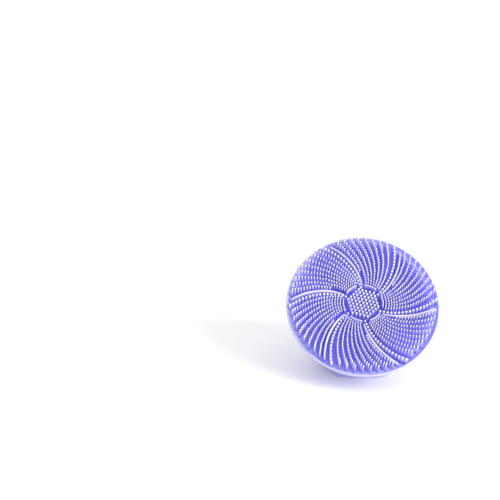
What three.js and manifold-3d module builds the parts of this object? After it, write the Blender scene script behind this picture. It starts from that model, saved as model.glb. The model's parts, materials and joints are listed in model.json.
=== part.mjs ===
// Palm-held sonic facial cleansing brush: a wide silicone bristle pad on a smaller, waterproof
// battery body that stands on a flat foot, leaning back. Millimetres.
//
// Everything is modelled in the brush's own axes: +Z out of the bristle face, +Y up the face, and
// z = 0 just above the pad's lip. The finished group is then leant back about X and lifted,
// so that in the part's frame +Z is up and -Y is the front.
import * as THREE from "three";
import { ConvexGeometry } from "three/addons/geometries/ConvexGeometry.js";
import { mergeVertices } from "three/addons/utils/BufferGeometryUtils.js";
import Module from "manifold-3d";

const wasm = await Module();
wasm.setup();

// ---------------------------------------------------------------- driving dimensions
const LEAN = THREE.MathUtils.degToRad(42.5); // from lying on its back to standing on its foot
const AXIS_HEIGHT = 47; // from the floor up to the middle of the bristle face
const MID_DEPTH = 8.235; // from there forward to the middle of the whole depth
const GAP = 0.3; // between pieces that touch

const RIM_RADIUS = 48; // the pad's outside
const FIELD_RADIUS = 45.7; // the bristles end here
const PAD_FACE = -4.6; // the surface that the bristles grow from
const PAD_BACK = -6;
const CORE_TIP = 1.7;
const STUD_TIP = { inner: -0.4, outer: 2.4 };
const BRISTLE_TIP = 4.4; // of the long bristles at the edge, above the whole pad
const WALL_TIP = -0.2;
const WALL_WIDTH = 1.1;

const ARMS = 6;
const HEX_RADIUS = 13.2; // corners of the hexagon that the arms start from
const ARM_RADIUS = 40; // each arm is an arc of this radius
const ARM_START = THREE.MathUtils.degToRad(11.5); // its direction from radial where it starts
const ARM_TURN = THREE.MathUtils.degToRad(53);
const STUD_LINE_ANGLE = THREE.MathUtils.degToRad(5.8); // the stud line is the arm turned by this
const STUDS_PER_ARM = 16;
const STUD_RADIUS = 0.85;
const EDGE_ROWS = [13, 19.1, 25.2, 31.3, 37.4, 43.5, 49.6, 55.3].map(THREE.MathUtils.degToRad);
const EDGE_RADII = [44.5, 41.2]; // where the long bristles of each row stand
const BRISTLE_RADIUS = 0.5;
const CORE_PITCH = 2.4; // hexagonal grid of studs in the middle
const CORE_RINGS = 4;
const CORE_TURN = THREE.MathUtils.degToRad(-15);
const CORE_STUD_RADIUS = 0.72;
const CORE_WALL = {
  radius: 12.4,
  width: 0.6,
  from: THREE.MathUtils.degToRad(18), // round from an arm's start
  to: THREE.MathUtils.degToRad(53),
};

const FLANGE_RADIUS = 43.2; // rigid flange that the pad is stretched over
const PAD_LIP_RADIUS = 41.6; // the pad's edge, hooked behind the flange
const FLANGE_FRONT = PAD_BACK - GAP;
const FLANGE_BACK = FLANGE_FRONT - 2.3;
const SPLIT = -14; // front shell above, rear housing and skin below
const SPIGOT_END = SPLIT - 3;
const SPIGOT_RADIUS = 29.2;
const SPIGOT_BORE = 27.2;
const SEAL = { z: -15.5, r: 28.95, radius: 0.45 }; // O-ring in a groove around the spigot

const SKIN = 1.5; // silicone skin over the rear housing
const WALL = 2; // rigid housing
const BODY_BACK = -46.5;
// Outside of the grip: waist for the fingers, then a fuller palm end.
const GRIP_PROFILE = [
  [33.6, SPLIT - GAP],
  [33.3, -19],
  [34.4, -25.5],
  [35.3, -32],
  [34.6, -38.5],
  [31, -43.8],
  [25, BODY_BACK],
];

// The foot: a chin under the grip, flat along the floor and flaring up into the grip. Each ring is
// a rounded outline at a height above the floor; front is along the floor from under the lip.
const FOOT_RINGS = [
  { halfWidth: 16.6, front: -9.3, depth: 6, height: 0 },
  { halfWidth: 18.6, front: -9, depth: 6.5, height: 1.8 },
  { halfWidth: 25.5, front: -6, depth: 9, height: 7.5 },
];
const FOOT_BACK = 13;
const NOTCH = { width: 4.4, height: 0.8, depth: 2.5 }; // in the middle of the foot's front edge

const SCREW_CIRCLE = 23.5;
const SCREW_ANGLES = [40, 140, 220, 320].map(THREE.MathUtils.degToRad);
const SCREW = { head: 2.6, shank: 1.1, hole: 1.45, length: 18 };
const BOSS_RADIUS = 3.2;

const PANEL = { y: 3.5, radius: 17, front: BODY_BACK + SKIN - 0.1, back: BODY_BACK - 0.2 };
const BUTTONS = {
  power_button: { x: 0, y: 0.5, radius: 5.6 },
  plus_button: { x: -9.6, y: 9.5, radius: 3.4 },
  minus_button: { x: 9.6, y: 9.5, radius: 3.4 },
};
const BUTTON_PROUD = 0.8;
const BUTTON_TRAVEL = 0.6;
const BUTTON_STEM = 1.8;
const LIGHT_RING = { inner: 6.2, outer: 7.6 };

const BOARD = { front: -34.2, back: -35.8, radius: 27 };
const SWITCH = { size: 6, front: BOARD.back - GAP, back: -38.6, plunger: 1.4, tip: -39.3 };
const FRAME_PLATE = { front: -20.6, back: -22.2, radius: 28 };
const FRAME_POSTS = [
  [-9.5, 20.5],
  [9.5, 20.5],
  [-21.5, -3],
  [21.5, -3],
];
const BATTERY = { x: 28, y: 21, z: 5.6, centre: [0, -8.5, -26.6] };
const MOTOR = { radius: 6, length: 17, x: -2, y: 8.5, z: -15.8 };
const motorStart = MOTOR.x - MOTOR.length / 2;
const motorEnd = MOTOR.x + MOTOR.length / 2;
const WEIGHT = { radius: 5.4, length: 5 };
const PORT = { y: 35.9, z: -32.4, width: 9, height: 3.4 };
const COVER = { width: 15, height: 9 };

// ---------------------------------------------------------------- materials
const material = (color, roughness, metalness = 0) =>
  new THREE.MeshStandardMaterial({ color, roughness, metalness });
const silicone = material(0xb4b2ee, 0.45);
const gripSilicone = material(0xa9a7e6, 0.5);
const shellPlastic = material(0xb9b7ec, 0.35);
const innerPlastic = material(0xe9e9ef, 0.5);
const panelPlastic = material(0xe4e3f6, 0.2);
const buttonPlastic = material(0xc9c7f2, 0.35);
const lightPlastic = material(0xf4f4ff, 0.3);
const darkRubber = material(0x2a2a2e, 0.7);
const steel = material(0xb8bcc2, 0.3, 1);
const brass = material(0xb08d4a, 0.35, 1);
const boardGreen = material(0x1f6b46, 0.5);
const cellFoil = material(0x8fa6c4, 0.4, 0.3);
const redWire = material(0xb3262a, 0.5);
const blackWire = material(0x1c1c1f, 0.5);

// ---------------------------------------------------------------- solids
function solidOf(geometry) {
  const bare = geometry.index ? geometry.toNonIndexed() : geometry.clone();
  bare.deleteAttribute("normal");
  bare.deleteAttribute("uv");
  const merged = mergeVertices(bare, 1e-4);
  return new wasm.Manifold(
    new wasm.Mesh({
      numProp: 3,
      vertProperties: merged.attributes.position.array,
      triVerts: new Uint32Array(merged.index.array),
    }),
  );
}

const join = (solids) => solids.reduce((all, next) => all.add(next));
const cut = (solid, ...tools) => tools.reduce((left, tool) => left.subtract(tool), solid);

// A profile of [radius, z] points, counter-clockwise with the radius to the right, turned about Z.
function revolve(profile, segments = 36) {
  const points = profile.map(([r, z]) => new THREE.Vector2(r, z));
  if (points[0].x > 0) points.push(points[0].clone());
  return solidOf(new THREE.LatheGeometry(points, segments).rotateX(Math.PI / 2));
}

const smooth = (profile, steps) =>
  new THREE.SplineCurve(profile.map(([r, z]) => new THREE.Vector2(r, z)))
    .getPoints(steps)
    .map((p) => [p.x, p.y]);

const rod = (radius, low, high, x = 0, y = 0, segments = 16) =>
  solidOf(
    new THREE.CylinderGeometry(radius, radius, high - low, segments)
      .rotateX(Math.PI / 2)
      .translate(x, y, (low + high) / 2),
  );

const rodAlongX = (radius, from, to, y, z, segments = 24) =>
  solidOf(
    new THREE.CylinderGeometry(radius, radius, to - from, segments)
      .rotateZ(Math.PI / 2)
      .translate((from + to) / 2, y, z),
  );

const block = (dx, dy, dz, x, y, z) =>
  solidOf(new THREE.BoxGeometry(dx, dy, dz).translate(x, y, z));

// A block whose sides stay level and upright when the brush stands, given in floor axes: y along
// the floor from under the lip's centre, z up from the floor.
const standingBlock = (dx, yFrom, yTo, zFrom, zTo) =>
  solidOf(
    new THREE.BoxGeometry(dx, yTo - yFrom, zTo - zFrom)
      .translate(0, (yFrom + yTo) / 2, (zFrom + zTo) / 2 - AXIS_HEIGHT)
      .rotateX(-LEAN),
  );

const belowFloor = (height) => standingBlock(200, -100, 100, -100, height);

function tube(points, radius, steps) {
  const path = new THREE.CatmullRomCurve3(points.map((p) => new THREE.Vector3(...p)));
  const section = new THREE.Shape().absarc(0, 0, radius, 0, 2 * Math.PI);
  return solidOf(
    new THREE.ExtrudeGeometry(section, { extrudePath: path, steps, curveSegments: 4 }),
  );
}

const brush = new THREE.Group();

function addPiece(name, solid, finish) {
  const { vertProperties, triVerts } = solid.getMesh();
  const geometry = new THREE.BufferGeometry()
    .setAttribute("position", new THREE.BufferAttribute(vertProperties, 3))
    .setIndex(new THREE.BufferAttribute(triVerts, 1));
  geometry.computeVertexNormals();
  const mesh = new THREE.Mesh(geometry, finish);
  mesh.name = name;
  brush.add(mesh);
}

// ---------------------------------------------------------------- bristle pad
// A point of an arm: share 0 is its hexagon corner, share 1 its end at the lip.
function armPoint(share, turned) {
  const heading = ARM_START + share * ARM_TURN;
  const x = ARM_RADIUS * (Math.cos(heading) - Math.cos(ARM_START));
  const y = HEX_RADIUS + ARM_RADIUS * (Math.sin(heading) - Math.sin(ARM_START));
  return new THREE.Vector2(x, y).rotateAround(new THREE.Vector2(), turned);
}

// How far along an arm it reaches a radius.
function armShareAt(radius) {
  let low = 0;
  let high = 1.2;
  for (let i = 0; i < 30; i += 1) {
    const middle = (low + high) / 2;
    if (armPoint(middle, 0).length() < radius) low = middle;
    else high = middle;
  }
  return low;
}

function armWall(turned) {
  const steps = 12;
  const side = (offset) =>
    Array.from({ length: steps + 1 }, (_, i) => {
      const share = i / steps;
      const outward = new THREE.Vector2(1, 0).rotateAround(
        new THREE.Vector2(),
        ARM_START + share * ARM_TURN + turned,
      );
      return armPoint(share, turned).addScaledVector(outward, offset);
    });
  const outline = [...side(WALL_WIDTH / 2), ...side(-WALL_WIDTH / 2).reverse()];
  return solidOf(
    new THREE.ExtrudeGeometry(new THREE.Shape(outline), {
      depth: WALL_TIP - PAD_FACE + 0.6,
      bevelEnabled: false,
    }).translate(0, 0, PAD_FACE - 0.6),
  );
}

// A wall round the middle studs, across the inner end of one sector.
function coreWall(turned) {
  const { radius, width, from, to } = CORE_WALL;
  const quarter = Math.PI / 2;
  const outline = new THREE.Shape();
  outline.absarc(0, 0, radius + width / 2, quarter + turned + from, quarter + turned + to, false);
  outline.absarc(0, 0, radius - width / 2, quarter + turned + to, quarter + turned + from, true);
  return solidOf(
    new THREE.ExtrudeGeometry(outline, {
      depth: CORE_TIP - PAD_FACE + 0.6,
      bevelEnabled: false,
      curveSegments: 4,
    }).translate(0, 0, PAD_FACE - 0.6),
  );
}

const stud = (x, y, radius, tip) =>
  solidOf(
    new THREE.CylinderGeometry(radius * 0.8, radius, tip - PAD_FACE + 0.5, 4)
      .rotateX(Math.PI / 2)
      .translate(x, y, (tip + PAD_FACE - 0.5) / 2),
  );

function coreStuds() {
  const found = [];
  for (let a = -CORE_RINGS; a <= CORE_RINGS; a += 1) {
    for (let b = -CORE_RINGS; b <= CORE_RINGS; b += 1) {
      if (Math.abs(a + b) > CORE_RINGS) continue;
      const place = new THREE.Vector2(a + b / 2, b * Math.sin(Math.PI / 3))
        .multiplyScalar(CORE_PITCH)
        .rotateAround(new THREE.Vector2(), CORE_TURN);
      found.push(stud(place.x, place.y, CORE_STUD_RADIUS, CORE_TIP));
    }
  }
  return found;
}

function armStuds(turned) {
  return Array.from({ length: STUDS_PER_ARM }, (_, i) => {
    const share = (i + 0.3) / STUDS_PER_ARM;
    const place = armPoint(share, turned + STUD_LINE_ANGLE);
    const tip = THREE.MathUtils.lerp(STUD_TIP.inner, STUD_TIP.outer, share);
    return stud(place.x, place.y, STUD_RADIUS, tip);
  });
}

const edgeShares = EDGE_RADII.map(armShareAt);
const edgeBristles = (turned) =>
  EDGE_ROWS.flatMap((row) =>
    edgeShares.map((share) => {
      const place = armPoint(share, turned + row);
      return stud(place.x, place.y, BRISTLE_RADIUS, BRISTLE_TIP);
    }),
  );

function brushHead() {
  const pad = revolve(
    [
      [0, PAD_BACK],
      [FLANGE_RADIUS + GAP, PAD_BACK],
      [FLANGE_RADIUS + GAP, FLANGE_BACK - GAP],
      [PAD_LIP_RADIUS, FLANGE_BACK - GAP],
      [PAD_LIP_RADIUS, -9.8],
      [42.6, -10.4],
      [44.2, -10.2],
      [45, -9.2],
      [47.2, -5.4],
      [RIM_RADIUS, -3.8],
      [47.8, -2.7],
      [47.3, -2.2],
      [46.7, -2.5],
      [FIELD_RADIUS, PAD_FACE],
      [0, PAD_FACE],
    ],
    48,
  );
  const raised = coreStuds();
  for (let arm = 0; arm < ARMS; arm += 1) {
    const turned = (arm * 2 * Math.PI) / ARMS;
    raised.push(armWall(turned), coreWall(turned), ...armStuds(turned), ...edgeBristles(turned));
  }
  const inside = rod(FIELD_RADIUS + 0.4, PAD_FACE - 1, 10, 0, 0, 48);
  return pad.add(wasm.Manifold.union(raised).intersect(inside));
}

addPiece("brush_head", brushHead(), silicone);

// ---------------------------------------------------------------- rigid shells
const atScrews = (make) =>
  SCREW_ANGLES.map((angle) => make(SCREW_CIRCLE * Math.cos(angle), SCREW_CIRCLE * Math.sin(angle)));

function frontShell() {
  const bowl = revolve([
    [0, FLANGE_BACK],
    [36, FLANGE_BACK],
    [31, -11],
    [SPIGOT_BORE, SPLIT],
    [SPIGOT_BORE, SPIGOT_END],
    [SPIGOT_RADIUS, SPIGOT_END],
    [SPIGOT_RADIUS, SEAL.z - SEAL.radius - 0.2],
    [SEAL.r - 0.75, SEAL.z - SEAL.radius - 0.2],
    [SEAL.r - 0.75, SEAL.z + SEAL.radius + 0.2],
    [SPIGOT_RADIUS, SEAL.z + SEAL.radius + 0.2],
    [SPIGOT_RADIUS, SPLIT - 0.1],
    [33.4, SPLIT],
    [33.9, -12.8],
    [36, -11],
    [38.6, -9.9],
    [41, -9.3],
    [41.2, FLANGE_BACK],
    [FLANGE_RADIUS, FLANGE_BACK],
    [FLANGE_RADIUS, FLANGE_FRONT],
    [0, FLANGE_FRONT],
  ]);
  const bosses = atScrews((x, y) => rod(BOSS_RADIUS, SPIGOT_END, FLANGE_BACK + 0.5, x, y, 16));
  const rest = block(10, 21, 5, MOTOR.x, MOTOR.y, FLANGE_BACK - 2.4);
  const holes = atScrews((x, y) =>
    rod(SCREW.hole, -20, 0, x, y, 12).add(rod(SCREW.head + 0.3, FLANGE_FRONT - 1.7, 0, x, y)),
  );
  const motorSeat = rodAlongX(MOTOR.radius + 1.9, motorStart - 3, motorEnd + 9, MOTOR.y, MOTOR.z);
  return cut(join([bowl, ...bosses, rest]), motorSeat, ...holes);
}

// The grip's outside, shrunk by a thickness, up to a front face.
function gripSolid(shrink, frontZ) {
  const back = BODY_BACK + shrink;
  const side = smooth(GRIP_PROFILE, 9).map(([r, z]) => [r - shrink, Math.max(z, back)]);
  return revolve([[0, back], ...side.reverse(), [side.at(-1)[0], frontZ], [0, frontZ]]);
}

// One ring of the chin, in floor axes: a rounded front edge between two straight sides.
function footRing({ halfWidth, front, depth, height }) {
  const edge = Array.from({ length: 11 }, (_, i) => {
    const turn = Math.PI * (i / 10 - 0.5);
    const across = Math.sign(turn) * Math.abs(Math.sin(turn)) ** 0.6;
    const inward = 1 - Math.cos(turn) ** 0.6;
    return new THREE.Vector3(across * halfWidth, front + depth * inward, height);
  });
  const back = [-halfWidth, halfWidth].map((x) => new THREE.Vector3(x, FOOT_BACK, height));
  return [...edge, ...back];
}

// The chin, solid silicone: the hull of its rings.
const foot = () =>
  solidOf(
    new ConvexGeometry(FOOT_RINGS.flatMap(footRing)).translate(0, 0, -AXIS_HEIGHT).rotateX(-LEAN),
  );

// The grip without its foot, shrunk by a thickness and flattened towards the floor.
const flattenedGrip = (shrink, frontZ) => gripSolid(shrink, frontZ).subtract(belowFloor(shrink));

const portHole = (clear) =>
  block(PORT.width + 2 * clear, 20, PORT.height + 2 * clear, 0, PORT.y, PORT.z);

function rearHousing() {
  const outer = flattenedGrip(SKIN + GAP, SPLIT - GAP);
  const cavity = flattenedGrip(SKIN + GAP + WALL, SPLIT + 1);
  const bosses = atScrews((x, y) => rod(BOSS_RADIUS, BODY_BACK + 3, SPIGOT_END - GAP, x, y, 16));
  const bores = atScrews((x, y) => rod(SCREW.shank + 0.1, -27, -10, x, y, 12));
  const stems = Object.values(BUTTONS).map(({ x, y }) => rod(BUTTON_STEM + 0.5, -50, -30, x, y));
  return cut(join([outer.subtract(cavity), ...bosses]), portHole(0.6), ...stems, ...bores);
}

const coverWindow = (clear) =>
  block(COVER.width + 2 * clear, 20, COVER.height + 2 * clear, 0, PORT.y, PORT.z);

function gripSkin() {
  const outer = gripSolid(0, SPLIT - GAP).add(foot()).subtract(belowFloor(0));
  const inner = flattenedGrip(SKIN, SPLIT + 1);
  const front = FOOT_RINGS[0].front;
  const notch = standingBlock(NOTCH.width, front - 1, front + NOTCH.depth, -1, NOTCH.height);
  const panelHole = rod(PANEL.radius + GAP, -50, -38, 0, PANEL.y, 40);
  return cut(outer, inner, panelHole, coverWindow(GAP), notch);
}

addPiece("front_shell", frontShell(), shellPlastic);
addPiece("rear_housing", rearHousing(), innerPlastic);
addPiece("grip_skin", gripSkin(), gripSilicone);

const sealSection = Array.from({ length: 6 }, (_, i) => {
  const angle = (i * Math.PI) / 3;
  return [SEAL.r + SEAL.radius * Math.cos(angle), SEAL.z + SEAL.radius * Math.sin(angle)];
});
addPiece("housing_seal", revolve(sealSection), darkRubber);

SCREW_ANGLES.forEach((angle, i) => {
  const x = SCREW_CIRCLE * Math.cos(angle);
  const y = SCREW_CIRCLE * Math.sin(angle);
  const top = FLANGE_FRONT - 0.2;
  const head = rod(SCREW.head, top - 1.3, top, x, y);
  const shank = rod(SCREW.shank - 0.2, top - SCREW.length, top - 1, x, y, 12);
  const slots = [block(3, 0.6, 0.7, x, y, top), block(0.6, 3, 0.7, x, y, top)];
  addPiece(`housing_screw_${i + 1}`, cut(head.add(shank), ...slots), steel);
});

// ---------------------------------------------------------------- controls on the back
function controlPanel() {
  const disc = rod(PANEL.radius, PANEL.back, PANEL.front, 0, PANEL.y, 40);
  const holes = Object.values(BUTTONS).map(({ x, y, radius }) =>
    rod(radius + GAP, -50, -30, x, y, 24),
  );
  const { x, y } = BUTTONS.power_button;
  const ringSeat = rod(LIGHT_RING.outer + GAP, PANEL.back - 1, PANEL.front - 0.5, x, y, 28);
  return cut(disc, ringSeat, ...holes);
}

addPiece("control_panel", controlPanel(), panelPlastic);
addPiece(
  "light_ring",
  rod(LIGHT_RING.outer, PANEL.back, PANEL.front - 0.8, 0, BUTTONS.power_button.y, 28).subtract(
    rod(LIGHT_RING.inner, -50, -30, 0, BUTTONS.power_button.y, 28),
  ),
  lightPlastic,
);

Object.entries(BUTTONS).forEach(([name, { x, y, radius }]) => {
  const cap = rod(radius, PANEL.back - BUTTON_PROUD, PANEL.front - BUTTON_TRAVEL - GAP, x, y, 24);
  const stem = rod(BUTTON_STEM, PANEL.front - 1, SWITCH.tip - BUTTON_TRAVEL - 0.1, x, y, 12);
  addPiece(name, cap.add(stem), buttonPlastic);
});

// ---------------------------------------------------------------- electronics
const post = ([x, y]) => rod(1.9, BOARD.front + GAP, FRAME_PLATE.front - 0.5, x, y, 16);

function innerFrame() {
  const plate = rod(FRAME_PLATE.radius, FRAME_PLATE.back, FRAME_PLATE.front, 0, 0, 40);
  const clear = atScrews((x, y) => rod(BOSS_RADIUS + 0.5, -50, 0, x, y));
  const motorWindow = block(MOTOR.length + 16, 18, 10, MOTOR.x, MOTOR.y, FRAME_PLATE.front);
  const walls = [-1, 1].map((side) =>
    block(1.2, BATTERY.y, 4, side * (BATTERY.x / 2 + 1), BATTERY.centre[1], FRAME_PLATE.back - 1.9),
  );
  const screwHoles = FRAME_POSTS.map(([x, y]) => rod(0.8, BOARD.back, -27, x, y, 10));
  return cut(join([plate, ...FRAME_POSTS.map(post), ...walls]), motorWindow, ...clear, ...screwHoles);
}

addPiece("inner_frame", innerFrame(), innerPlastic);

function circuitBoard() {
  const disc = rod(BOARD.radius, BOARD.back, BOARD.front, 0, 0, 40);
  const clear = atScrews((x, y) => rod(BOSS_RADIUS + 0.5, -50, 0, x, y));
  const floorSide = belowFloor(SKIN + WALL + 2.5);
  const screwHoles = FRAME_POSTS.map(([x, y]) => rod(1.1, -50, -20, x, y, 10));
  return cut(disc, floorSide, ...clear, ...screwHoles);
}

addPiece("circuit_board", circuitBoard(), boardGreen);

FRAME_POSTS.forEach(([x, y], i) => {
  const head = rod(1.8, BOARD.back - 1.3, BOARD.back - GAP, x, y, 16);
  addPiece(`board_screw_${i + 1}`, head.add(rod(0.6, BOARD.back - 1, -28, x, y, 10)), steel);
});

Object.entries(BUTTONS).forEach(([name, { x, y }]) => {
  const height = SWITCH.front - SWITCH.back;
  const base = block(SWITCH.size, SWITCH.size, height, x, y, SWITCH.back + height / 2);
  const plunger = rod(SWITCH.plunger, SWITCH.tip, SWITCH.back + 0.5, x, y, 16);
  addPiece(name.replace("button", "switch"), base.add(plunger), darkRubber);
});

[-1, 1].forEach((side, i) => {
  const x = side * 6.9;
  const led = block(2, 1.6, 0.9, x, BUTTONS.power_button.y, BOARD.back - GAP - 0.45);
  addPiece(`status_led_${i + 1}`, led, lightPlastic);
});

addPiece("control_chip", block(5, 5, 1, 0, 12, BOARD.back - GAP - 0.5), darkRubber);

function chargingSocket() {
  const low = BOARD.front + GAP;
  const shell = block(8.6, 8, 3, 0, 24.8, low + 1.5);
  const mouth = block(7.6, 6, 1.8, 0, 26.8, low + 1.5);
  const tongue = block(6, 5.5, 0.6, 0, 25.4, low + 1.5);
  return shell.subtract(mouth).add(tongue);
}

addPiece("charging_socket", chargingSocket(), steel);

function portCover() {
  const lid = gripSolid(0, SPLIT).subtract(gripSolid(SKIN - GAP, SPLIT + 1)).intersect(coverWindow(0));
  const stub = block(PORT.width, 4, PORT.height, 0, PORT.y - 2.8, PORT.z);
  const pull = block(4, 2, 1.2, 0, PORT.y - 0.6, PORT.z + COVER.height / 2 - 0.9);
  return join([lid, stub, pull]);
}

addPiece("port_cover", portCover(), gripSilicone);

function battery() {
  const { x, y, z, centre } = BATTERY;
  const outline = new THREE.Shape();
  const edge = 2.4;
  outline.moveTo(-x / 2 + edge, -z / 2);
  outline.lineTo(x / 2 - edge, -z / 2);
  outline.absarc(x / 2 - edge, 0, z / 2, -Math.PI / 2, Math.PI / 2);
  outline.lineTo(-x / 2 + edge, z / 2);
  outline.absarc(-x / 2 + edge, 0, z / 2, Math.PI / 2, (3 * Math.PI) / 2);
  return solidOf(
    new THREE.ExtrudeGeometry(outline, { depth: y, bevelEnabled: false, curveSegments: 6 })
      .rotateX(Math.PI / 2)
      .translate(centre[0], centre[1] + y / 2, centre[2]),
  );
}

addPiece("battery", battery(), cellFoil);

const [, batteryY, batteryZ] = BATTERY.centre;
const padTop = batteryZ - BATTERY.z / 2 - GAP;
addPiece(
  "battery_foam",
  block(22, 15, padTop - BOARD.front - GAP, 0, batteryY, (padTop + BOARD.front + GAP) / 2),
  darkRubber,
);

// ---------------------------------------------------------------- vibration motor
addPiece(
  "motor_sleeve",
  rodAlongX(MOTOR.radius + 1.5, motorStart + 2, motorEnd - 4, MOTOR.y, MOTOR.z).subtract(
    rodAlongX(MOTOR.radius + GAP, motorStart, motorEnd, MOTOR.y, MOTOR.z),
  ),
  darkRubber,
);

addPiece(
  "motor_can",
  cut(
    join([
      rodAlongX(MOTOR.radius, motorStart, motorEnd, MOTOR.y, MOTOR.z),
      rodAlongX(2.4, motorEnd - 1, motorEnd + 1.2, MOTOR.y, MOTOR.z),
    ]),
    rodAlongX(1.35, motorEnd - 5, motorEnd + 5, MOTOR.y, MOTOR.z, 16),
  ),
  steel,
);

addPiece(
  "motor_shaft",
  rodAlongX(1, motorEnd - 4.5, motorEnd + 8, MOTOR.y, MOTOR.z, 16),
  steel,
);

// Half a disc, hanging straight down while the brush stands.
function eccentricWeight() {
  const from = motorEnd + 2;
  const disc = rodAlongX(WEIGHT.radius, from, from + WEIGHT.length, MOTOR.y, MOTOR.z, 24);
  const upperHalf = solidOf(
    new THREE.BoxGeometry(20, 20, 10)
      .translate(from, 0, 5 + 2)
      .rotateX(-LEAN)
      .translate(0, MOTOR.y, MOTOR.z),
  );
  const bore = rodAlongX(1 + GAP, from - 5, from + 20, MOTOR.y, MOTOR.z, 16);
  return cut(disc, upperHalf, bore);
}

addPiece("eccentric_weight", eccentricWeight(), brass);

// A printed strap holds the motor against the rest inside the front shell.
function motorStrap() {
  const centre = MOTOR.x - 1;
  const band = rodAlongX(MOTOR.radius + 3, centre - 2.5, centre + 2.5, MOTOR.y, MOTOR.z).subtract(
    rodAlongX(MOTOR.radius + 1.8, centre - 5, centre + 5, MOTOR.y, MOTOR.z),
  );
  const ears = block(5, 23, 1.4, centre, MOTOR.y, FLANGE_BACK - 5.9).subtract(
    rodAlongX(MOTOR.radius + 1.8, centre - 5, centre + 5, MOTOR.y, MOTOR.z),
  );
  const frontHalf = block(30, 40, 10, MOTOR.x, MOTOR.y, FLANGE_BACK - 0.2);
  return band.add(ears).subtract(frontHalf);
}

addPiece("motor_strap", motorStrap(), innerPlastic);

// ---------------------------------------------------------------- leads
const batteryEnd = BATTERY.centre[1] + BATTERY.y / 2;
[-1, 1].forEach((side, i) => {
  const colour = i ? "black" : "red";
  const finish = i ? blackWire : redWire;
  const x = side * 2.2;
  addPiece(
    `battery_lead_${colour}`,
    tube(
      [
        [x, batteryEnd + GAP, batteryZ],
        [x, batteryEnd + 2.4, batteryZ - 0.6],
        [x * 1.4, batteryEnd + 3.6, batteryZ - 2.4],
        [x * 1.6, batteryEnd + 3.8, BOARD.front + GAP],
      ],
      0.6,
      10,
    ),
    finish,
  );
  addPiece(
    `motor_lead_${colour}`,
    tube(
      [
        [motorStart - GAP, MOTOR.y + side * 2.4, MOTOR.z],
        [motorStart - 3, MOTOR.y + side * 2.4, MOTOR.z - 1],
        [motorStart - 5.6, MOTOR.y + side * 2, -19],
        [motorStart - 5.4, MOTOR.y + side * 2, -26],
        [motorStart - 5, MOTOR.y + side * 2, BOARD.front + GAP],
      ],
      0.6,
      16,
    ),
    finish,
  );
});

// ---------------------------------------------------------------- standing on the foot
// The origin lies on the floor, under the middle of the brush's depth.
brush.rotation.x = LEAN;
brush.position.set(0, -MID_DEPTH, AXIS_HEIGHT);

const standing = new THREE.Group();
standing.add(brush);

export default standing;
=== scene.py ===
"""A lavender silicone facial cleansing brush, standing on its foot with its bristles to the front."""

import json
import math
import random

import bmesh
import bpy
import numpy as np
from mathutils import Matrix, Vector


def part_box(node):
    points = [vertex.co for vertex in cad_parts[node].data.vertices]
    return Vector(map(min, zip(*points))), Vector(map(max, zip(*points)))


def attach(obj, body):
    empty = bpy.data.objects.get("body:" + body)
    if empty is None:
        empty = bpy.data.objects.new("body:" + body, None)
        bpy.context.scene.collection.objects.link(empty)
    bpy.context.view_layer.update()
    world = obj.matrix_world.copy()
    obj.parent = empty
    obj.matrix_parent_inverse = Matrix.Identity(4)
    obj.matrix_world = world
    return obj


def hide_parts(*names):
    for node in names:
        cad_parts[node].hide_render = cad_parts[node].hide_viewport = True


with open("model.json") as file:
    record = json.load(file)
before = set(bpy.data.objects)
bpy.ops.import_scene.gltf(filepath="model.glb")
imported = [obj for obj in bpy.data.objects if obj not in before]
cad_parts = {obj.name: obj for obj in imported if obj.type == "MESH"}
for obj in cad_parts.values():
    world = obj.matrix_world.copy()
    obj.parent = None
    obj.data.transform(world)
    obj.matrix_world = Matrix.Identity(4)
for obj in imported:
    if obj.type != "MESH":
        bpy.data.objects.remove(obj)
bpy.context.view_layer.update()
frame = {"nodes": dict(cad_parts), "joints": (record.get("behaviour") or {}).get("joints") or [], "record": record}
chance = random.Random(7)

# ---------------------------------------------------------------- the brush's own axes
# Pieces are modelled in millimetres: x across, y up the bristle face, z out of it, with z = 0
# just above the pad's lip. These axes come from the joints and the round seal of the frame.
MM = 0.001
joint_axis = {joint["name"]: Vector(joint["axis"]).normalized() for joint in frame["joints"]}
OUT = joint_axis["power_button_press"]
UP = joint_axis["port_cover_pull"]
ACROSS = UP.cross(OUT)
SEAL_Z = -15.5
seal_low, seal_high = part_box("housing_seal")
ORIGIN = (seal_low + seal_high) / 2 - OUT * SEAL_Z * MM
TO_WORLD = Matrix.Translation(ORIGIN) @ Matrix((ACROSS, UP, OUT)).transposed().to_4x4() @ Matrix.Scale(MM, 4)
FLOOR_TO_LOCAL = Matrix((ACROSS, UP, OUT)).to_4x4()
HEIGHT = ORIGIN.z / MM  # of the local origin above the floor

# ---------------------------------------------------------------- dimensions
FACE = [(0, -3.7), (15, -3.8), (30, -4.2), (40, -4.6), (44.6, -5.0)]
FIELD_RADIUS = 44.9
ARMS = 6
HEX_RADIUS = 13.2
ARM_RADIUS = 40
ARM_START = math.radians(11.5)
ARM_TURN = math.radians(53)
RIDGE_TOP = [(13, -1.4), (18, -0.5), (25, 0.4), (38, 0.4), (43, -0.3), (46, -1.2)]
RIDGE_WIDTH = 1.05
BIG_ROW = math.radians(5.8)
BIG_STUDS = 16
FINE_ROWS = [13.0, 19.1, 25.2, 31.3, 37.4, 43.5, 49.6, 55.3]
FINE_PITCH = 1.68
FINE_TIP = [(13, 1.6), (30, 2.5), (40, 3.9), (45, 6.2)]
FINE_SLIM = [(13, 0.8), (24, 1)]  # share of the full thickness, by radius
SHORT_ROW_START = 22.5
CORE_PITCH = 2.4
CORE_RINGS = 4
CORE_TURN = math.radians(-15)
CORE_WALL = {"radius": 12.4, "width": 0.6, "from": math.radians(16), "to": math.radians(56), "top": 1.2}

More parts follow.
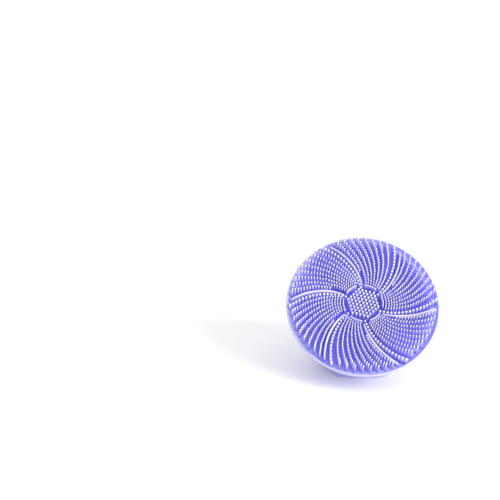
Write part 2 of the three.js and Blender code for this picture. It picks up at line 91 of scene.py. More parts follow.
SPLIT = -14
BODY_BACK = -46.5
SKIN = 1.5
GRIP_PROFILE = [
    (33.6, SPLIT - 0.3),
    (33.3, -19),
    (34.4, -25.5),
    (35.3, -32),
    (34.6, -38.5),
    (31, -43.8),
    (25, BODY_BACK),
]
FOOT_RINGS = [
    {"half": 16.6, "front": -9.3, "depth": 6, "height": 0},
    {"half": 18.6, "front": -9, "depth": 6.5, "height": 1.8},
    {"half": 25.5, "front": -6, "depth": 9, "height": 7.5},
]
FOOT_BACK = 13
NOTCH = {"width": 4.4, "height": 0.8, "depth": 2.5}
PANEL = {"y": 3.5, "radius": 17, "front": BODY_BACK + SKIN - 0.1, "back": BODY_BACK - 0.2}
BUTTONS = {
    "power_button": (0, 0.5, 5.6),
    "plus_button": (-9.6, 9.5, 3.4),
    "minus_button": (9.6, 9.5, 3.4),
}
BUTTON_PROUD = 0.8
RING = {"inner": 6.2, "outer": 7.6}
PORT = {"y": 35.9, "z": -32.4, "width": 9, "height": 3.4}
COVER = {"width": 15, "height": 9}
BUTTON_GAP = 0.3
SYMBOL_WIDTH = 0.5
SWITCH_TIP = -39.3


# ---------------------------------------------------------------- materials
class Shader:
    """A material's node tree, with the few steps that every finish here is made of."""

    def __init__(self, name):
        self.material = bpy.data.materials.new(name)
        self.material.use_nodes = True
        self.tree = self.material.node_tree
        self.surface = self.tree.nodes["Principled BSDF"]

    def node(self, kind, **settings):
        made = self.tree.nodes.new(kind)
        for key, value in settings.items():
            if key in made.inputs:
                made.inputs[key].default_value = value
            else:
                setattr(made, key, value)
        return made

    def link(self, source, target):
        self.tree.links.new(source, target)

    def place(self, stretch=(1, 1, 1)):
        """Object coordinates in millimetres, stretched."""
        where = self.node("ShaderNodeTexCoord")
        scaled = self.node("ShaderNodeMapping")
        scaled.inputs["Scale"].default_value = [s / MM for s in stretch]
        self.link(where.outputs["Object"], scaled.inputs["Vector"])
        return scaled.outputs["Vector"]

    def noise(self, scale, detail=3.0, roughness=0.5, stretch=(1, 1, 1)):
        made = self.node("ShaderNodeTexNoise", Scale=scale, Detail=detail, Roughness=roughness)
        self.link(self.place(stretch), made.inputs["Vector"])
        return made.outputs["Fac"]

    def spread(self, value, low, high, start=0.3, end=0.7):
        made = self.node("ShaderNodeMapRange")
        for key, number in zip(("From Min", "From Max", "To Min", "To Max"), (start, end, low, high)):
            made.inputs[key].default_value = number
        self.link(value, made.inputs["Value"])
        return made.outputs["Result"]

    def ramp(self, value, stops):
        made = self.node("ShaderNodeValToRGB")
        elements = made.color_ramp.elements
        while len(elements) < len(stops):
            elements.new(0.5)
        for element, (place, color) in zip(elements, stops):
            element.position = place
            element.color = (*color, 1)
        self.link(value, made.inputs["Fac"])
        return made.outputs["Color"]

    def bump(self, value, depth_mm, strength=0.5):
        made = self.node("ShaderNodeBump", Strength=strength, Distance=depth_mm * MM)
        self.link(value, made.inputs["Height"])
        self.link(made.outputs["Normal"], self.surface.inputs["Normal"])


def tinted(color, factor):
    return tuple(min(1, channel * factor) for channel in color)


def finish_of(
    name, color, roughness, metallic=0.0, grain=3.0, depth=0.03, wear=0.06, stretch=(1, 1, 1), **extra
):
    """A moulded, painted or metal finish with mottled colour, uneven gloss and a fine relief."""
    shader = Shader(name)
    mottle = shader.noise(0.12, 4, 0.6)
    stops = [(0.3, tinted(color, 1 - wear)), (0.7, tinted(color, 1 + wear))]
    shader.link(shader.ramp(mottle, stops), shader.surface.inputs["Base Color"])
    relief = shader.noise(grain, 3, 0.6, stretch)
    gloss = shader.spread(relief, roughness - 0.05, roughness + 0.07)
    shader.link(gloss, shader.surface.inputs["Roughness"])
    shader.surface.inputs["Metallic"].default_value = metallic
    for key, value in extra.items():
        shader.surface.inputs[key.replace("_", " ").title()].default_value = value
    shader.bump(relief, depth)
    return shader.material


def silicone(name, stops, roughness, measure="height"):
    """Translucent silicone whose colour ramp paints in light and shade: on the pad and bristles it is darker in
    deep places as painted shade and lighter on tips and the lip as painted light.

    Its stops are colours at local heights in mm, at distances in mm from the axis ("radius"), or
    at shares of the way up a bristle ("growth").
    """
    shader = Shader(name)
    unit = MM
    if measure == "growth":
        unit = 1
        grown = shader.node("ShaderNodeAttribute", attribute_name="growth")
        value = grown.outputs["Fac"]
    else:
        where = shader.node("ShaderNodeTexCoord")
        offset = shader.node("ShaderNodeVectorMath", operation="SUBTRACT")
        offset.inputs[1].default_value = ORIGIN
        shader.link(where.outputs["Object"], offset.inputs[0])
        product = "CROSS_PRODUCT" if measure == "radius" else "DOT_PRODUCT"
        along = shader.node("ShaderNodeVectorMath", operation=product)
        along.inputs[1].default_value = OUT
        shader.link(offset.outputs["Vector"], along.inputs[0])
        value = along.outputs[0 if measure == "radius" else "Value"]
        if measure == "radius":
            length = shader.node("ShaderNodeVectorMath", operation="LENGTH")
            shader.link(value, length.inputs[0])
            value = length.outputs["Value"]
    low, high = stops[0][0], stops[-1][0]
    share = shader.spread(value, 0, 1, low * unit, high * unit)
    shade = shader.ramp(share, [((place - low) / (high - low), color) for place, color in stops])
    mottle = shader.spread(shader.noise(0.1, 4, 0.6), 0.955, 1.045)
    colour = shader.node("ShaderNodeVectorMath", operation="SCALE")
    shader.link(shade, colour.inputs[0])
    shader.link(mottle, colour.inputs["Scale"])
    shader.link(colour.outputs["Vector"], shader.surface.inputs["Base Color"])
    relief = shader.noise(2.2, 4, 0.6)
    shader.link(shader.spread(relief, roughness - 0.05, roughness + 0.06), shader.surface.inputs["Roughness"])
    shader.surface.inputs["Subsurface Weight"].default_value = 0.5
    shader.surface.inputs["Subsurface Radius"].default_value = (0.5, 0.45, 1.0)
    shader.surface.inputs["Subsurface Scale"].default_value = 1.3 * MM
    shader.surface.inputs["IOR"].default_value = 1.42
    shader.bump(relief, 0.03)
    return shader.material


def circuit_board(name):
    """Green solder mask with traces that show as slightly raised, lighter lines."""
    shader = Shader(name)
    traces = shader.node("ShaderNodeTexBrick", offset=0.5)
    for key, value in (("Scale", 0.35), ("Mortar Size", 0.06), ("Mortar Smooth", 0.1)):
        traces.inputs[key].default_value = value
    traces.inputs["Color1"].default_value = (0.010, 0.11, 0.05, 1)
    traces.inputs["Color2"].default_value = (0.012, 0.13, 0.06, 1)
    traces.inputs["Mortar"].default_value = (0.04, 0.25, 0.10, 1)
    shader.link(shader.place(), traces.inputs["Vector"])
    shader.link(traces.outputs["Color"], shader.surface.inputs["Base Color"])
    relief = shader.noise(2, 3)
    shader.link(shader.spread(relief, 0.3, 0.42), shader.surface.inputs["Roughness"])
    shader.bump(traces.outputs["Fac"], 0.03)
    return shader.material


def foil(name):
    """Shrink wrap over a pouch cell: silvery blue, creased."""
    shader = Shader(name)
    shader.surface.inputs["Metallic"].default_value = 0.6
    creases = shader.noise(0.45, 6, 0.7, (1, 1, 2))
    stops = [(0.35, (0.22, 0.34, 0.52)), (0.65, (0.36, 0.48, 0.66))]
    shader.link(shader.ramp(creases, stops), shader.surface.inputs["Base Color"])
    shader.link(shader.spread(creases, 0.28, 0.48), shader.surface.inputs["Roughness"])
    shader.bump(creases, 0.25)
    return shader.material


# Pad colour by radius, with painted light: darker as painted shade in the core and among the bristles, a painted
# highlight along the lip's crest, and darker again as painted shade under the lip.
PAD_PAINTED_LIGHT_BY_RADIUS = [
    (0, (0.11, 0.095, 0.64)),
    (13, (0.12, 0.105, 0.66)),
    (18, (0.17, 0.155, 0.78)),
    (42, (0.235, 0.215, 0.80)),
    (44.6, (0.42, 0.405, 0.82)),
    (46.2, (0.50, 0.49, 0.84)),
    (47.3, (0.52, 0.51, 0.84)),
    (48, (0.46, 0.45, 0.82)),
]
# Bristle colour by share of the way up: painted shade at the foot, painted light towards the tip.
BRISTLE_PAINTED_LIGHT_BY_GROWTH = [
    (0, (0.22, 0.205, 0.80)),
    (0.4, (0.44, 0.42, 0.82)),
    (0.75, (0.63, 0.61, 0.84)),
    (1, (0.78, 0.77, 0.87)),
]
# The grip is a little darker towards its back end.
GRIP_BY_HEIGHT = [(-47, (0.40, 0.39, 0.72)), (-14, (0.43, 0.42, 0.74))]
MATERIALS = {
    "pad_silicone": silicone("pad silicone", PAD_PAINTED_LIGHT_BY_RADIUS, 0.42, "radius"),
    "bristle_silicone": silicone("bristle silicone", BRISTLE_PAINTED_LIGHT_BY_GROWTH, 0.4, "growth"),
    "grip_silicone": silicone("grip silicone", GRIP_BY_HEIGHT, 0.48),
    "shell_plastic": finish_of("shell plastic", (0.31, 0.30, 0.60), 0.36, coat_weight=0.15),
    "inner_plastic": finish_of("inner plastic", (0.60, 0.60, 0.64), 0.5),
    "panel_plastic": finish_of("panel plastic", (0.46, 0.45, 0.64), 0.26, coat_weight=0.3, depth=0.015),
    "button_plastic": finish_of("button plastic", (0.34, 0.33, 0.60), 0.38, depth=0.02),
    "light_plastic": finish_of("light plastic", (0.66, 0.66, 0.74), 0.3, transmission_weight=0.15),
    "dark_rubber": finish_of("dark rubber", (0.022, 0.022, 0.026), 0.68, grain=1.6, depth=0.06, wear=0.2),
    "steel": finish_of("steel", (0.52, 0.53, 0.55), 0.3, 1.0, grain=1.2, depth=0.02, stretch=(0.1, 1, 1)),
    "brass": finish_of("brass", (0.55, 0.36, 0.12), 0.34, 1.0, grain=1.2, depth=0.02, wear=0.15),
    "board": circuit_board("circuit board"),
    "cell_foil": foil("cell foil"),
    "red_wire": finish_of("red wire", (0.48, 0.02, 0.02), 0.42, wear=0.12),
    "black_wire": finish_of("black wire", (0.015, 0.015, 0.017), 0.42, wear=0.2),
    "symbol": finish_of("symbol", (0.72, 0.72, 0.80), 0.4, depth=0.01),
}
for part in frame["record"]["subparts"]:
    mesh = frame["nodes"][part["node"]].data
    mesh.materials.clear()
    mesh.materials.append(MATERIALS[part["material_slot"]])


# ---------------------------------------------------------------- mesh building
class Shape:
    """Vertices in local millimetres, and faces."""

    def __init__(self):
        self.points = []
        self.faces = []
        self.growth = []

    def loops(self, rings, closed_ends=True, ground=None, tip=None):
        """Quads between rings of equally many points; the ends are closed with single faces.

        Where ground and tip are given, each point keeps how far it is from one to the other.
        """
        first = len(self.points)
        count = len(rings[0])
        for ring in rings:
            self.points.extend(tuple(p) for p in ring)
            if tip is not None:
                self.growth.extend((p[2] - ground) / (tip - ground) for p in ring)
        for row in range(len(rings) - 1):
            base = first + row * count
            for i in range(count):
                j = (i + 1) % count
                self.faces.append((base + i, base + j, base + count + j, base + count + i))
        if closed_ends:
            self.faces.append(tuple(reversed(range(first, first + count))))
            last = first + (len(rings) - 1) * count
            self.faces.append(tuple(range(last, last + count)))

    def lathe(self, profile, segments, x=0.0, y=0.0):
        """A closed profile of (radius, z) turned about a line along z."""
        turns = [2 * math.pi * i / segments for i in range(segments)]
        rings = [[(x + r * math.cos(t), y + r * math.sin(t), z) for t in turns] for r, z in profile]
        self.loops(rings + rings[:1], closed_ends=False)

    def spindle(self, profile, segments, x=0.0, y=0.0, lean=(0.0, 0.0), growing=False):
        """A (radius, z) profile from bottom to top, both ends closed; lean moves it aside per mm."""
        turns = [2 * math.pi * i / segments for i in range(segments)]
        bottom = profile[0][1]
        rings = []
        for r, z in profile:
            shift_x = x + lean[0] * (z - bottom)
            shift_y = y + lean[1] * (z - bottom)
            rings.append([(shift_x + r * math.cos(t), shift_y + r * math.sin(t), z) for t in turns])
        self.loops(rings, ground=bottom, tip=profile[-1][1] if growing else None)

    def mesh(self, name):
        made = bpy.data.meshes.new(name)
        made.from_pydata(self.points, [], self.faces)
        if self.growth:
            made.attributes.new("growth", "FLOAT", "POINT").data.foreach_set("value", self.growth)
        tidy = bmesh.new()
        tidy.from_mesh(made)
        bmesh.ops.remove_doubles(tidy, verts=tidy.verts, dist=1e-4)
        bmesh.ops.recalc_face_normals(tidy, faces=tidy.faces)
        tidy.to_mesh(made)
        tidy.free()
        return made


def local_object(name, mesh):
    made = bpy.data.objects.new(name, mesh)
    bpy.context.scene.collection.objects.link(made)
    return made


def applied(obj):
    """The object's mesh with its modifiers applied; the object itself is removed."""
    graph = bpy.context.evaluated_depsgraph_get()
    mesh = bpy.data.meshes.new_from_object(obj.evaluated_get(graph))
    bpy.data.objects.remove(obj)
    return mesh


def combined(mesh, operation, others):
    """The mesh joined with, or cut by, other meshes in local millimetres."""
    for other in others:
        subject = local_object("subject", mesh)
        tool = local_object("tool", other)
        step = subject.modifiers.new("combine", "BOOLEAN")
        step.operation = operation
        step.solver = "EXACT"
        step.object = tool
        mesh = applied(subject)
        bpy.data.objects.remove(tool)
    return mesh


def modified(mesh, kind, **settings):
    subject = local_object("subject", mesh)
    step = subject.modifiers.new(kind, kind)
    for key, value in settings.items():
        setattr(step, key, value)
    return applied(subject)


def moulded(mesh, voxel, rounds):
    """Remade from small voxels and smoothed, so that every edge is softly rounded."""
    mesh = modified(mesh, "REMESH", mode="VOXEL", voxel_size=voxel)
    return modified(mesh, "SMOOTH", factor=0.5, iterations=rounds)


def bevelled(mesh, width):
    return modified(
        mesh,
        "BEVEL",
        width=width,
        segments=3,
        limit_method="ANGLE",
        angle_limit=math.radians(35),
        harden_normals=True,
    )


def placed(name, mesh, slot, body="handle", replaces=(), material=None, sharp=None):
    """The mesh becomes a piece of the brush: baked into the frame, riding on its body."""
    mesh.transform(TO_WORLD)
    mesh.polygons.foreach_set("use_smooth", [True] * len(mesh.polygons))
    if sharp:
        mesh.set_sharp_from_angle(angle=math.radians(sharp))
    mesh.materials.clear()
    mesh.materials.append(MATERIALS[material or slot])
    piece = local_object(name, mesh)
    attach(piece, body)
    if replaces:
        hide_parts(*replaces)


def between(table, x):
    """Straight-line interpolation in a table of (x, value)."""
    return float(np.interp(x, [row[0] for row in table], [row[1] for row in table]))


def spline(points, steps):
    """A smooth line through points, the same kind of curve that the frame's grip follows."""
    padded = [points[0], *points, points[-1]]
    line = []
    for i in range(len(points) - 1):
        a, b, c, d = (np.array(p, float) for p in padded[i : i + 4])
        for k in range(steps):
            t = k / steps
            square = (2 * a - 5 * b + 4 * c - d) * t**2
            cube = (3 * b - a - 3 * c + d) * t**3
            line.append(0.5 * (2 * b + (c - a) * t + square + cube))
    line.append(np.array(points[-1], float))
    return [(float(r), float(z)) for r, z in line]


def cylinder(radius, low, high, x=0.0, y=0.0, segments=96):
    shape = Shape()
    shape.spindle([(radius, low), (radius, high)], segments, x, y)
    return shape.mesh("cylinder")


def box_mesh(low, high, turn=None):
    """A block between two corners, in local axes or, with turn, in turned ones."""
    corners = [
        Vector((x, y, z)) for z in (low[2], high[2]) for x, y in
        ((low[0], low[1]), (high[0], low[1]), (high[0], high[1]), (low[0], high[1]))
    ]
    if turn:
        corners = [turn @ c for c in corners]
    shape = Shape()
    shape.loops([corners[:4], corners[4:]])
    return shape.mesh("box")


def from_floor(point):
    """A point given in floor axes (y along the floor from under the lip, z up) in local axes."""
    x, y, z = point
    return FLOOR_TO_LOCAL @ Vector((x, y, z - HEIGHT))


# ---------------------------------------------------------------- bristle pad
def face_at(radius):
    return between(FACE, radius)


def arm_point(share, turned, aside=0.0):
    """A point of an arm, from the hexagon to the lip, moved aside across the arm."""
    heading = ARM_START + share * ARM_TURN
    x = ARM_RADIUS * (math.cos(heading) - math.cos(ARM_START)) + aside * math.cos(heading)
    y = HEX_RADIUS + ARM_RADIUS * (math.sin(heading) - math.sin(ARM_START)) + aside * math.sin(heading)
    return (
        x * math.cos(turned) - y * math.sin(turned),
        x * math.sin(turned) + y * math.cos(turned),
    )


def arm_share_at(radius):
    """How far along an arm it reaches a radius."""
    low, high = 0.0, 1.2
    for _ in range(40):
        middle = (low + high) / 2
        if math.hypot(*arm_point(middle, 0)) < radius:
            low = middle
        else:
            high = middle
    return (low + high) / 2


def pad_skin():
    """The pad itself: domed face, plain margin, rounded lip and the edge hooked behind."""
    face = [(r, face_at(r)) for r in np.linspace(0.01, 43, 24)]
    rim = spline(
        [
            (44.2, -4.95),
            (45.6, -4.75),
            (46.5, -3.5),
            (46.9, -2.55),
            (47.35, -2.2),
            (47.8, -2.6),
            (48, -3.8),
            (47.3, -5.5),
            (46.2, -7.5),
            (45.1, -9.3),
            (44.2, -10.25),
            (43, -10.4),
            (42, -10),
            (41.6, -9.3),
        ],
        6,
    )
    back = [(41.7, -8.95), (43.4, -8.9), (43.5, -8.8), (43.5, -6.1), (43.4, -6), (0.01, -6)]
    shape = Shape()
    shape.lathe(face + rim + back, 288)
    return shape


def blade(shape, centre_line, tops, width, foot=0.55, end_length=1.2, shade=1.5):
    """A thin rounded wall along a line of (x, y, across) with a fillet at its foot.

    Like the bristles, it is painted darker at its foot as shade and lighter at its top as light; its top is
    painted like a bristle that is still that many mm short of its tip.
    """
    count = len(centre_line)
    lengths = [0.0]
    for (x0, y0, _), (x1, y1, _) in zip(centre_line, centre_line[1:]):
        lengths.append(lengths[-1] + math.hypot(x1 - x0, y1 - y0))
    rings = []
    for i in range(count):
        x, y, (ax, ay) = centre_line[i]
        ground = face_at(math.hypot(x, y)) - 0.3
        from_end = min(lengths[i], lengths[-1] - lengths[i])
        rounded = math.sqrt(max(0.0, 1 - (1 - min(1, from_end / end_length)) ** 2))
        top = ground + (tops[i] - ground) * (0.35 + 0.65 * rounded)
        half = width / 2 * (0.35 + 0.65 * rounded)
        fillet = [(half + foot * 0.08, ground + 0.9), (half + foot * 0.35, ground + 0.35)]
        fillet.append((half + foot, ground))
        section = [(-s, z) for s, z in reversed(fillet)]
        section.append((-half, top - half))
        for a in np.linspace(0.3, math.pi - 0.3, 7):
            section.append((-half * math.cos(a), top - half + half * math.sin(a)))
        section.append((half, top - half))
        section += fillet
        rings.append([(x + ax * s, y + ay * s, z) for s, z in section])
    # The share from foot to top, which the bristle silicone paints as shade low down and light high up.
    shape.loops(rings, ground=-5, tip=max(tops) + shade)


def ridges():
    shape = Shape()
    end = arm_share_at(FIELD_RADIUS + 0.2)
    for arm in range(ARMS):
        turned = arm * 2 * math.pi / ARMS
        line = []
        tops = []
        for share in np.linspace(-0.01, end, 72):
            x, y = arm_point(share, turned)
            x_side, y_side = arm_point(share, turned, 1)
            line.append((x, y, (x_side - x, y_side - y)))
            tops.append(between(RIDGE_TOP, math.hypot(x, y)))
        blade(shape, line, tops, RIDGE_WIDTH)
    return shape


def core_walls():
    shape = Shape()
    for arm in range(ARMS):
        start = math.pi / 2 + arm * 2 * math.pi / ARMS
        line = []
        for angle in np.linspace(start + CORE_WALL["from"], start + CORE_WALL["to"], 20):
            radial = (math.cos(angle), math.sin(angle))
            line.append((CORE_WALL["radius"] * radial[0], CORE_WALL["radius"] * radial[1], radial))
        blade(shape, line, [CORE_WALL["top"]] * 20, CORE_WALL["width"], 0.3, 0.5, 2.2)
    return shape


def bristle(shape, x, y, tip, base_radius, tip_radius, sides=12, lean=0.02):
    """A tapered, round-tipped bristle with a small fillet where it grows from the face."""
    ground = face_at(math.hypot(x, y)) - 0.3
    length = tip - ground
    dome = tip_radius
    profile = [
        (base_radius * 1.75, ground),
        (base_radius * 1.25, ground + 0.4),
        (base_radius * 1.03, ground + 0.9),
        (base_radius + (tip_radius - base_radius) * 0.55, ground + length * 0.5),
        (tip_radius, tip - dome),
    ]
    profile += [(tip_radius * math.cos(a), tip - dome + dome * math.sin(a)) for a in (0.45, 0.85, 1.2, 1.5)]
    # growing keeps each point's share up the bristle, which the bristle silicone paints from shade at the foot to
    # light at the tip.
    shape.spindle(profile, sides, x, y, (chance.gauss(0, lean), chance.gauss(0, lean)), growing=True)


def big_studs():
    """The row of stouter studs that runs beside each ridge."""
    shape = Shape()
    for arm in range(ARMS):
        turned = arm * 2 * math.pi / ARMS + BIG_ROW
        for i in range(-1, BIG_STUDS):
            x, y = arm_point((i + 0.3) / BIG_STUDS, turned)
            tip = -0.2 + 2.6 * i / (BIG_STUDS - 1) + chance.gauss(0, 0.08)
            bristle(shape, x, y, tip, 0.86, 0.64, 16, 0.01)
    return shape


def core_studs():
    shape = Shape()
    for a in range(-CORE_RINGS, CORE_RINGS + 1):
        for b in range(-CORE_RINGS, CORE_RINGS + 1):
            if abs(a + b) > CORE_RINGS:
                continue
            u = CORE_PITCH * (a + b / 2)
            v = CORE_PITCH * b * math.sin(math.pi / 3)
            x = u * math.cos(CORE_TURN) - v * math.sin(CORE_TURN)
            y = u * math.sin(CORE_TURN) + v * math.cos(CORE_TURN)
            bristle(shape, x, y, 1.6 + chance.gauss(0, 0.08), 0.78, 0.56, 16, 0.01)
    return shape


def fine_bristles():
    """Curved rows of fine, long bristles between the arms, at the same radii in every row."""
    shape = Shape()
    radii = np.arange(HEX_RADIUS + 1.1, FIELD_RADIUS + 0.1, FINE_PITCH)
    shares = [(radius, arm_share_at(radius)) for radius in radii]
    for arm in range(ARMS):
        for row in FINE_ROWS:
            turned = arm * 2 * math.pi / ARMS + math.radians(row)
            for radius, share in shares:
                if row == FINE_ROWS[-1] and radius < SHORT_ROW_START:
                    continue
                x, y = arm_point(share, turned)
                tip = between(FINE_TIP, radius) + chance.gauss(0, 0.1)
                slim = between(FINE_SLIM, radius) + chance.gauss(0, 0.02)
                bristle(shape, x, y, tip, 0.54 * slim, 0.42 * slim, 10, 0.012)
    return shape


placed("pad_skin", pad_skin().mesh("pad skin"), "pad_silicone", replaces=["brush_head"])
placed("pad_ridges", ridges().mesh("pad ridges"), "pad_silicone", material="bristle_silicone")
placed("core_walls", core_walls().mesh("core walls"), "pad_silicone", material="bristle_silicone")
placed("big_studs", big_studs().mesh("big studs"), "pad_silicone", material="bristle_silicone")
placed("core_studs", core_studs().mesh("core studs"), "pad_silicone", material="bristle_silicone")
placed("fine_bristles", fine_bristles().mesh("fine bristles"), "pad_silicone", material="bristle_silicone")


# ---------------------------------------------------------------- shell, grip and port cover
def front_shell():
    shape = Shape()
    outside = spline([(33.35, -13.9), (33.9, -12.8), (36, -11), (38.6, -9.9), (41, -9.3)], 8)
    inside = [(0.01, -8.6), (36, -8.6), (31, -11), (27.2, -14), (27.2, -17), (29.1, -17), (29.2, -16.9)]
    seat = [(29.2, -16.15), (28.2, -16.15), (28.2, -14.85), (29.2, -14.85), (29.2, -14.1), (33.2, -14)]
    flange = [(41.2, -8.7), (41.3, -8.6), (43.1, -8.6), (43.2, -8.5)]
    front = [(43.2, -6.4), (43.1, -6.3), (0.01, -6.3)]
    shape.lathe(inside + seat + outside + flange + front, 192)
    return shape.mesh("front shell")


def grip_lathe(shrink, front_z, steps=10, segments=160):
    side = [(r - shrink, max(z, BODY_BACK + shrink)) for r, z in spline(GRIP_PROFILE, steps)]
    rings = [(side[0][0], front_z), *side]
    shape = Shape()
    shape.spindle(list(reversed(rings)), segments)
    return shape.mesh("grip")


def foot_mesh():
    """The chin under the grip, as the hull of its rings."""
    hull = bmesh.new()
    for ring in FOOT_RINGS:
        for i in range(33):
            turn = math.pi * (i / 32 - 0.5)
            across = math.copysign(abs(math.sin(turn)) ** 0.6, math.sin(turn)) * ring["half"]
            inward = 1 - max(0.0, math.cos(turn)) ** 0.6
            hull.verts.new(from_floor((across, ring["front"] + ring["depth"] * inward, ring["height"])))
        for x in (-ring["half"], ring["half"]):
            hull.verts.new(from_floor((x, FOOT_BACK, ring["height"])))
    bmesh.ops.convex_hull(hull, input=hull.verts)
    mesh = bpy.data.meshes.new("foot")
    hull.to_mesh(mesh)
    hull.free()
    return mesh


def standing_block(x_half, y_range, z_range):
    low = (-x_half, y_range[0], z_range[0] - HEIGHT)
    high = (x_half, y_range[1], z_range[1] - HEIGHT)
    return box_mesh(low, high, FLOOR_TO_LOCAL)


def window(clear):
    half_width = COVER["width"] / 2 + clear
    half_height = COVER["height"] / 2 + clear
    low = (-half_width, PORT["y"] - 10, PORT["z"] - half_height)
    high = (half_width, PORT["y"] + 10, PORT["z"] + half_height)
    return box_mesh(low, high)


def grip():
    outer = combined(grip_lathe(0, SPLIT - 0.3), "UNION", [foot_mesh()])
    below_sole = standing_block(100, (-100, 100), (-60, SKIN))
    inner = combined(grip_lathe(SKIN, SPLIT + 1, segments=96), "DIFFERENCE", [below_sole])
    front = FOOT_RINGS[0]["front"]
    notch = standing_block(NOTCH["width"] / 2, (front - 1, front + NOTCH["depth"]), (-1, NOTCH["height"]))
    floor = standing_block(100, (-100, 100), (-60, 0))
    panel_hole = cylinder(PANEL["radius"] + 0.3, -50, -38, 0, PANEL["y"])
    cut = combined(outer, "DIFFERENCE", [inner, panel_hole, window(0.3), notch, floor])
    return moulded(cut, 0.45, 5)


def port_cover():
    skin = combined(grip_lathe(0, SPLIT), "DIFFERENCE", [grip_lathe(SKIN - 0.3, SPLIT + 1)])
    lid = combined(skin, "INTERSECT", [window(0)])
    half_width, half_height = PORT["width"] / 2, PORT["height"] / 2
    stub = box_mesh(
        (-half_width, PORT["y"] - 4.8, PORT["z"] - half_height),
        (half_width, PORT["y"] - 0.8, PORT["z"] + half_height),
    )
    top = PORT["z"] + COVER["height"] / 2 - 0.9
    pull = box_mesh((-2, PORT["y"] - 1.6, top - 0.6), (2, PORT["y"] + 0.4, top + 0.6))
    return moulded(combined(lid, "UNION", [stub, pull]), 0.2, 4)


placed("shell", front_shell(), "shell_plastic", replaces=["front_shell"], sharp=40)
placed("grip", grip(), "grip_silicone", replaces=["grip_skin"])
placed("cover", port_cover(), "grip_silicone", "port_cover", replaces=["port_cover"])


# ---------------------------------------------------------------- controls on the back
def control_panel():
    plate = cylinder(PANEL["radius"], PANEL["back"], PANEL["front"], 0, PANEL["y"], 128)
    holes = [cylinder(radius + BUTTON_GAP, -50, -30, x, y, 64) for x, y, radius in BUTTONS.values()]
    x, y, _ = BUTTONS["power_button"]
    seat = cylinder(RING["outer"] + BUTTON_GAP, PANEL["back"] - 1, PANEL["front"] - 0.5, x, y)
    return bevelled(combined(plate, "DIFFERENCE", [seat, *holes]), 0.22)


def light_ring():
    low, high = PANEL["back"], PANEL["front"] - 0.8
    x, y, _ = BUTTONS["power_button"]
    inner, outer = RING["inner"], RING["outer"]
    middle = (inner + outer) / 2
    section = [(inner, high), (inner, low + 0.25), (inner + 0.15, low + 0.08), (middle, low)]
    section += [(outer - 0.15, low + 0.08), (outer, low + 0.25), (outer, high)]
    shape = Shape()
    shape.lathe(section, 96, x, y)
    return shape.mesh("light ring")


def button(x, y, radius):
    """A cap with a rounded edge and a slightly dished face, on its stem."""
    proud = PANEL["back"] - BUTTON_PROUD
    seat = PANEL["front"] - 0.9
    dish = 0.25 * radius / 5.6
    face = [(0.01, proud + dish), (radius * 0.4, proud + dish * 0.85), (radius * 0.7, proud + dish * 0.35)]
    edge = [(radius - 0.75, proud + 0.02), (radius - 0.4, proud + 0.06), (radius - 0.12, proud + 0.25)]
    side = [(radius, proud + 0.55), (radius, seat)]
    stem = [(1.8, seat), (1.8, SWITCH_TIP - 0.75), (0.01, SWITCH_TIP - 0.7)]
    shape = Shape()
    shape.spindle(face + edge + side + stem, 80, x, y)
    return shape.mesh("button")


def stroke(shape, points, width, low, high):
    """A raised line of constant width through points (x, y), with rounded ends."""
    outline = []
    half = width / 2
    for side in (1, -1):
        walk = points if side == 1 else points[::-1]
        for i, (x, y) in enumerate(walk):
            ahead = walk[min(i + 1, len(walk) - 1)]
            behind = walk[max(i - 1, 0)]
            heading = math.atan2(ahead[1] - behind[1], ahead[0] - behind[0])
            if i == len(walk) - 1:
                for turn in np.linspace(-math.pi / 2, math.pi / 2, 7)[:-1]:
                    outline.append((x + half * math.cos(heading + turn), y + half * math.sin(heading + turn)))
            else:
                outline.append((x + half * math.sin(heading), y - half * math.cos(heading)))
    shape.loops([[(x, y, low) for x, y in outline], [(x, y, high) for x, y in outline]])


def symbol(name):
    """The generic sign on a button: a power sign, a plus or a minus."""
    x, y, radius = BUTTONS[name]
    face = PANEL["back"] - BUTTON_PROUD
    low, high = face - 0.02, face + 0.6
    shape = Shape()
    if name == "power_button":
        arc = [math.radians(a) for a in np.linspace(125, 415, 40)]
        stroke(shape, [(x + 2.1 * math.cos(a), y + 2.1 * math.sin(a)) for a in arc], SYMBOL_WIDTH, low, high)
        stroke(shape, [(x, y + 0.6), (x, y + 2.7)], SYMBOL_WIDTH, low, high)
    else:
        stroke(shape, [(x - 1.4, y), (x + 1.4, y)], SYMBOL_WIDTH, low, high)
    if name == "plus_button":
        stroke(shape, [(x, y - 1.4), (x, y + 1.4)], SYMBOL_WIDTH, low - 0.01, high)
    return shape.mesh("symbol")


placed("panel", control_panel(), "panel_plastic", replaces=["control_panel"], sharp=40)
placed("ring", light_ring(), "light_plastic", replaces=["light_ring"], sharp=60)
for control, (button_x, button_y, button_radius) in BUTTONS.items():
    cap = button(button_x, button_y, button_radius)
    placed(f"{control}_cap", cap, "button_plastic", control, replaces=[control], sharp=60)
    placed(f"{control}_symbol", symbol(control), "light_plastic", control, material="symbol", sharp=40)

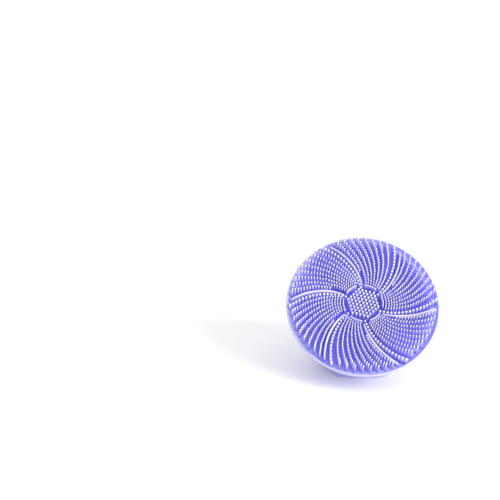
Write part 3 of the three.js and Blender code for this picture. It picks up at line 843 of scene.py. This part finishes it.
# ---------------------------------------------------------------- floor, light and camera
scene = bpy.context.scene
floor_shader = Shader("floor")
floor_stops = [(0.3, (0.90, 0.90, 0.905)), (0.7, (0.93, 0.93, 0.935))]
floor_colour = floor_shader.ramp(floor_shader.noise(0.004, 3), floor_stops)
floor_shader.link(floor_colour, floor_shader.surface.inputs["Base Color"])
floor_shader.surface.inputs["Roughness"].default_value = 0.6
floor_mesh = bpy.data.meshes.new("floor")
floor_mesh.from_pydata([(-6, -3, 0), (6, -3, 0), (6, 9, 0), (-6, 9, 0)], [], [(0, 1, 2, 3)])
floor_mesh.materials.append(floor_shader.material)
floor = local_object("floor", floor_mesh)

world = bpy.data.worlds.new("studio")
world.use_nodes = True
world.node_tree.nodes["Background"].inputs["Color"].default_value = (1, 1, 1, 1)
world.node_tree.nodes["Background"].inputs["Strength"].default_value = 1.05
scene.world = world


def soft_sun(name, towards, strength, softness):
    """Even light from one side of the studio; towards points from the brush to the light."""
    lamp = bpy.data.lights.new(name, "SUN")
    lamp.energy = strength
    lamp.angle = math.radians(softness)
    made = bpy.data.objects.new(name, lamp)
    made.rotation_euler = Vector(towards).to_track_quat("Z", "Y").to_euler()
    scene.collection.objects.link(made)


soft_sun("key", (0.78, -0.55, 0.42), 3.1, 32)

# The camera stands in front, a little above; the brush is at the right of its view.
DISTANCE = 0.790
CAMERA_RISE = math.radians(22)
CAMERA_SIDE = math.radians(-5.45)
LEFT_OF_BRUSH = 0.0719
ABOVE_BRUSH = 0.0308
lens = bpy.data.cameras.new("camera")
lens.lens = 90.9
lens.sensor_width = 36
camera = bpy.data.objects.new("camera", lens)
stand = Matrix.Rotation(CAMERA_SIDE, 3, "Z") @ Matrix.Rotation(-CAMERA_RISE, 3, "X")
camera.location = ORIGIN + stand @ Vector((0, -DISTANCE, 0))
aim = ORIGIN + stand @ Vector((-LEFT_OF_BRUSH, 0, ABOVE_BRUSH))
camera.rotation_euler = (aim - camera.location).to_track_quat("-Z", "Y").to_euler()
scene.collection.objects.link(camera)
scene.camera = camera
scene.view_settings.view_transform = "Standard"
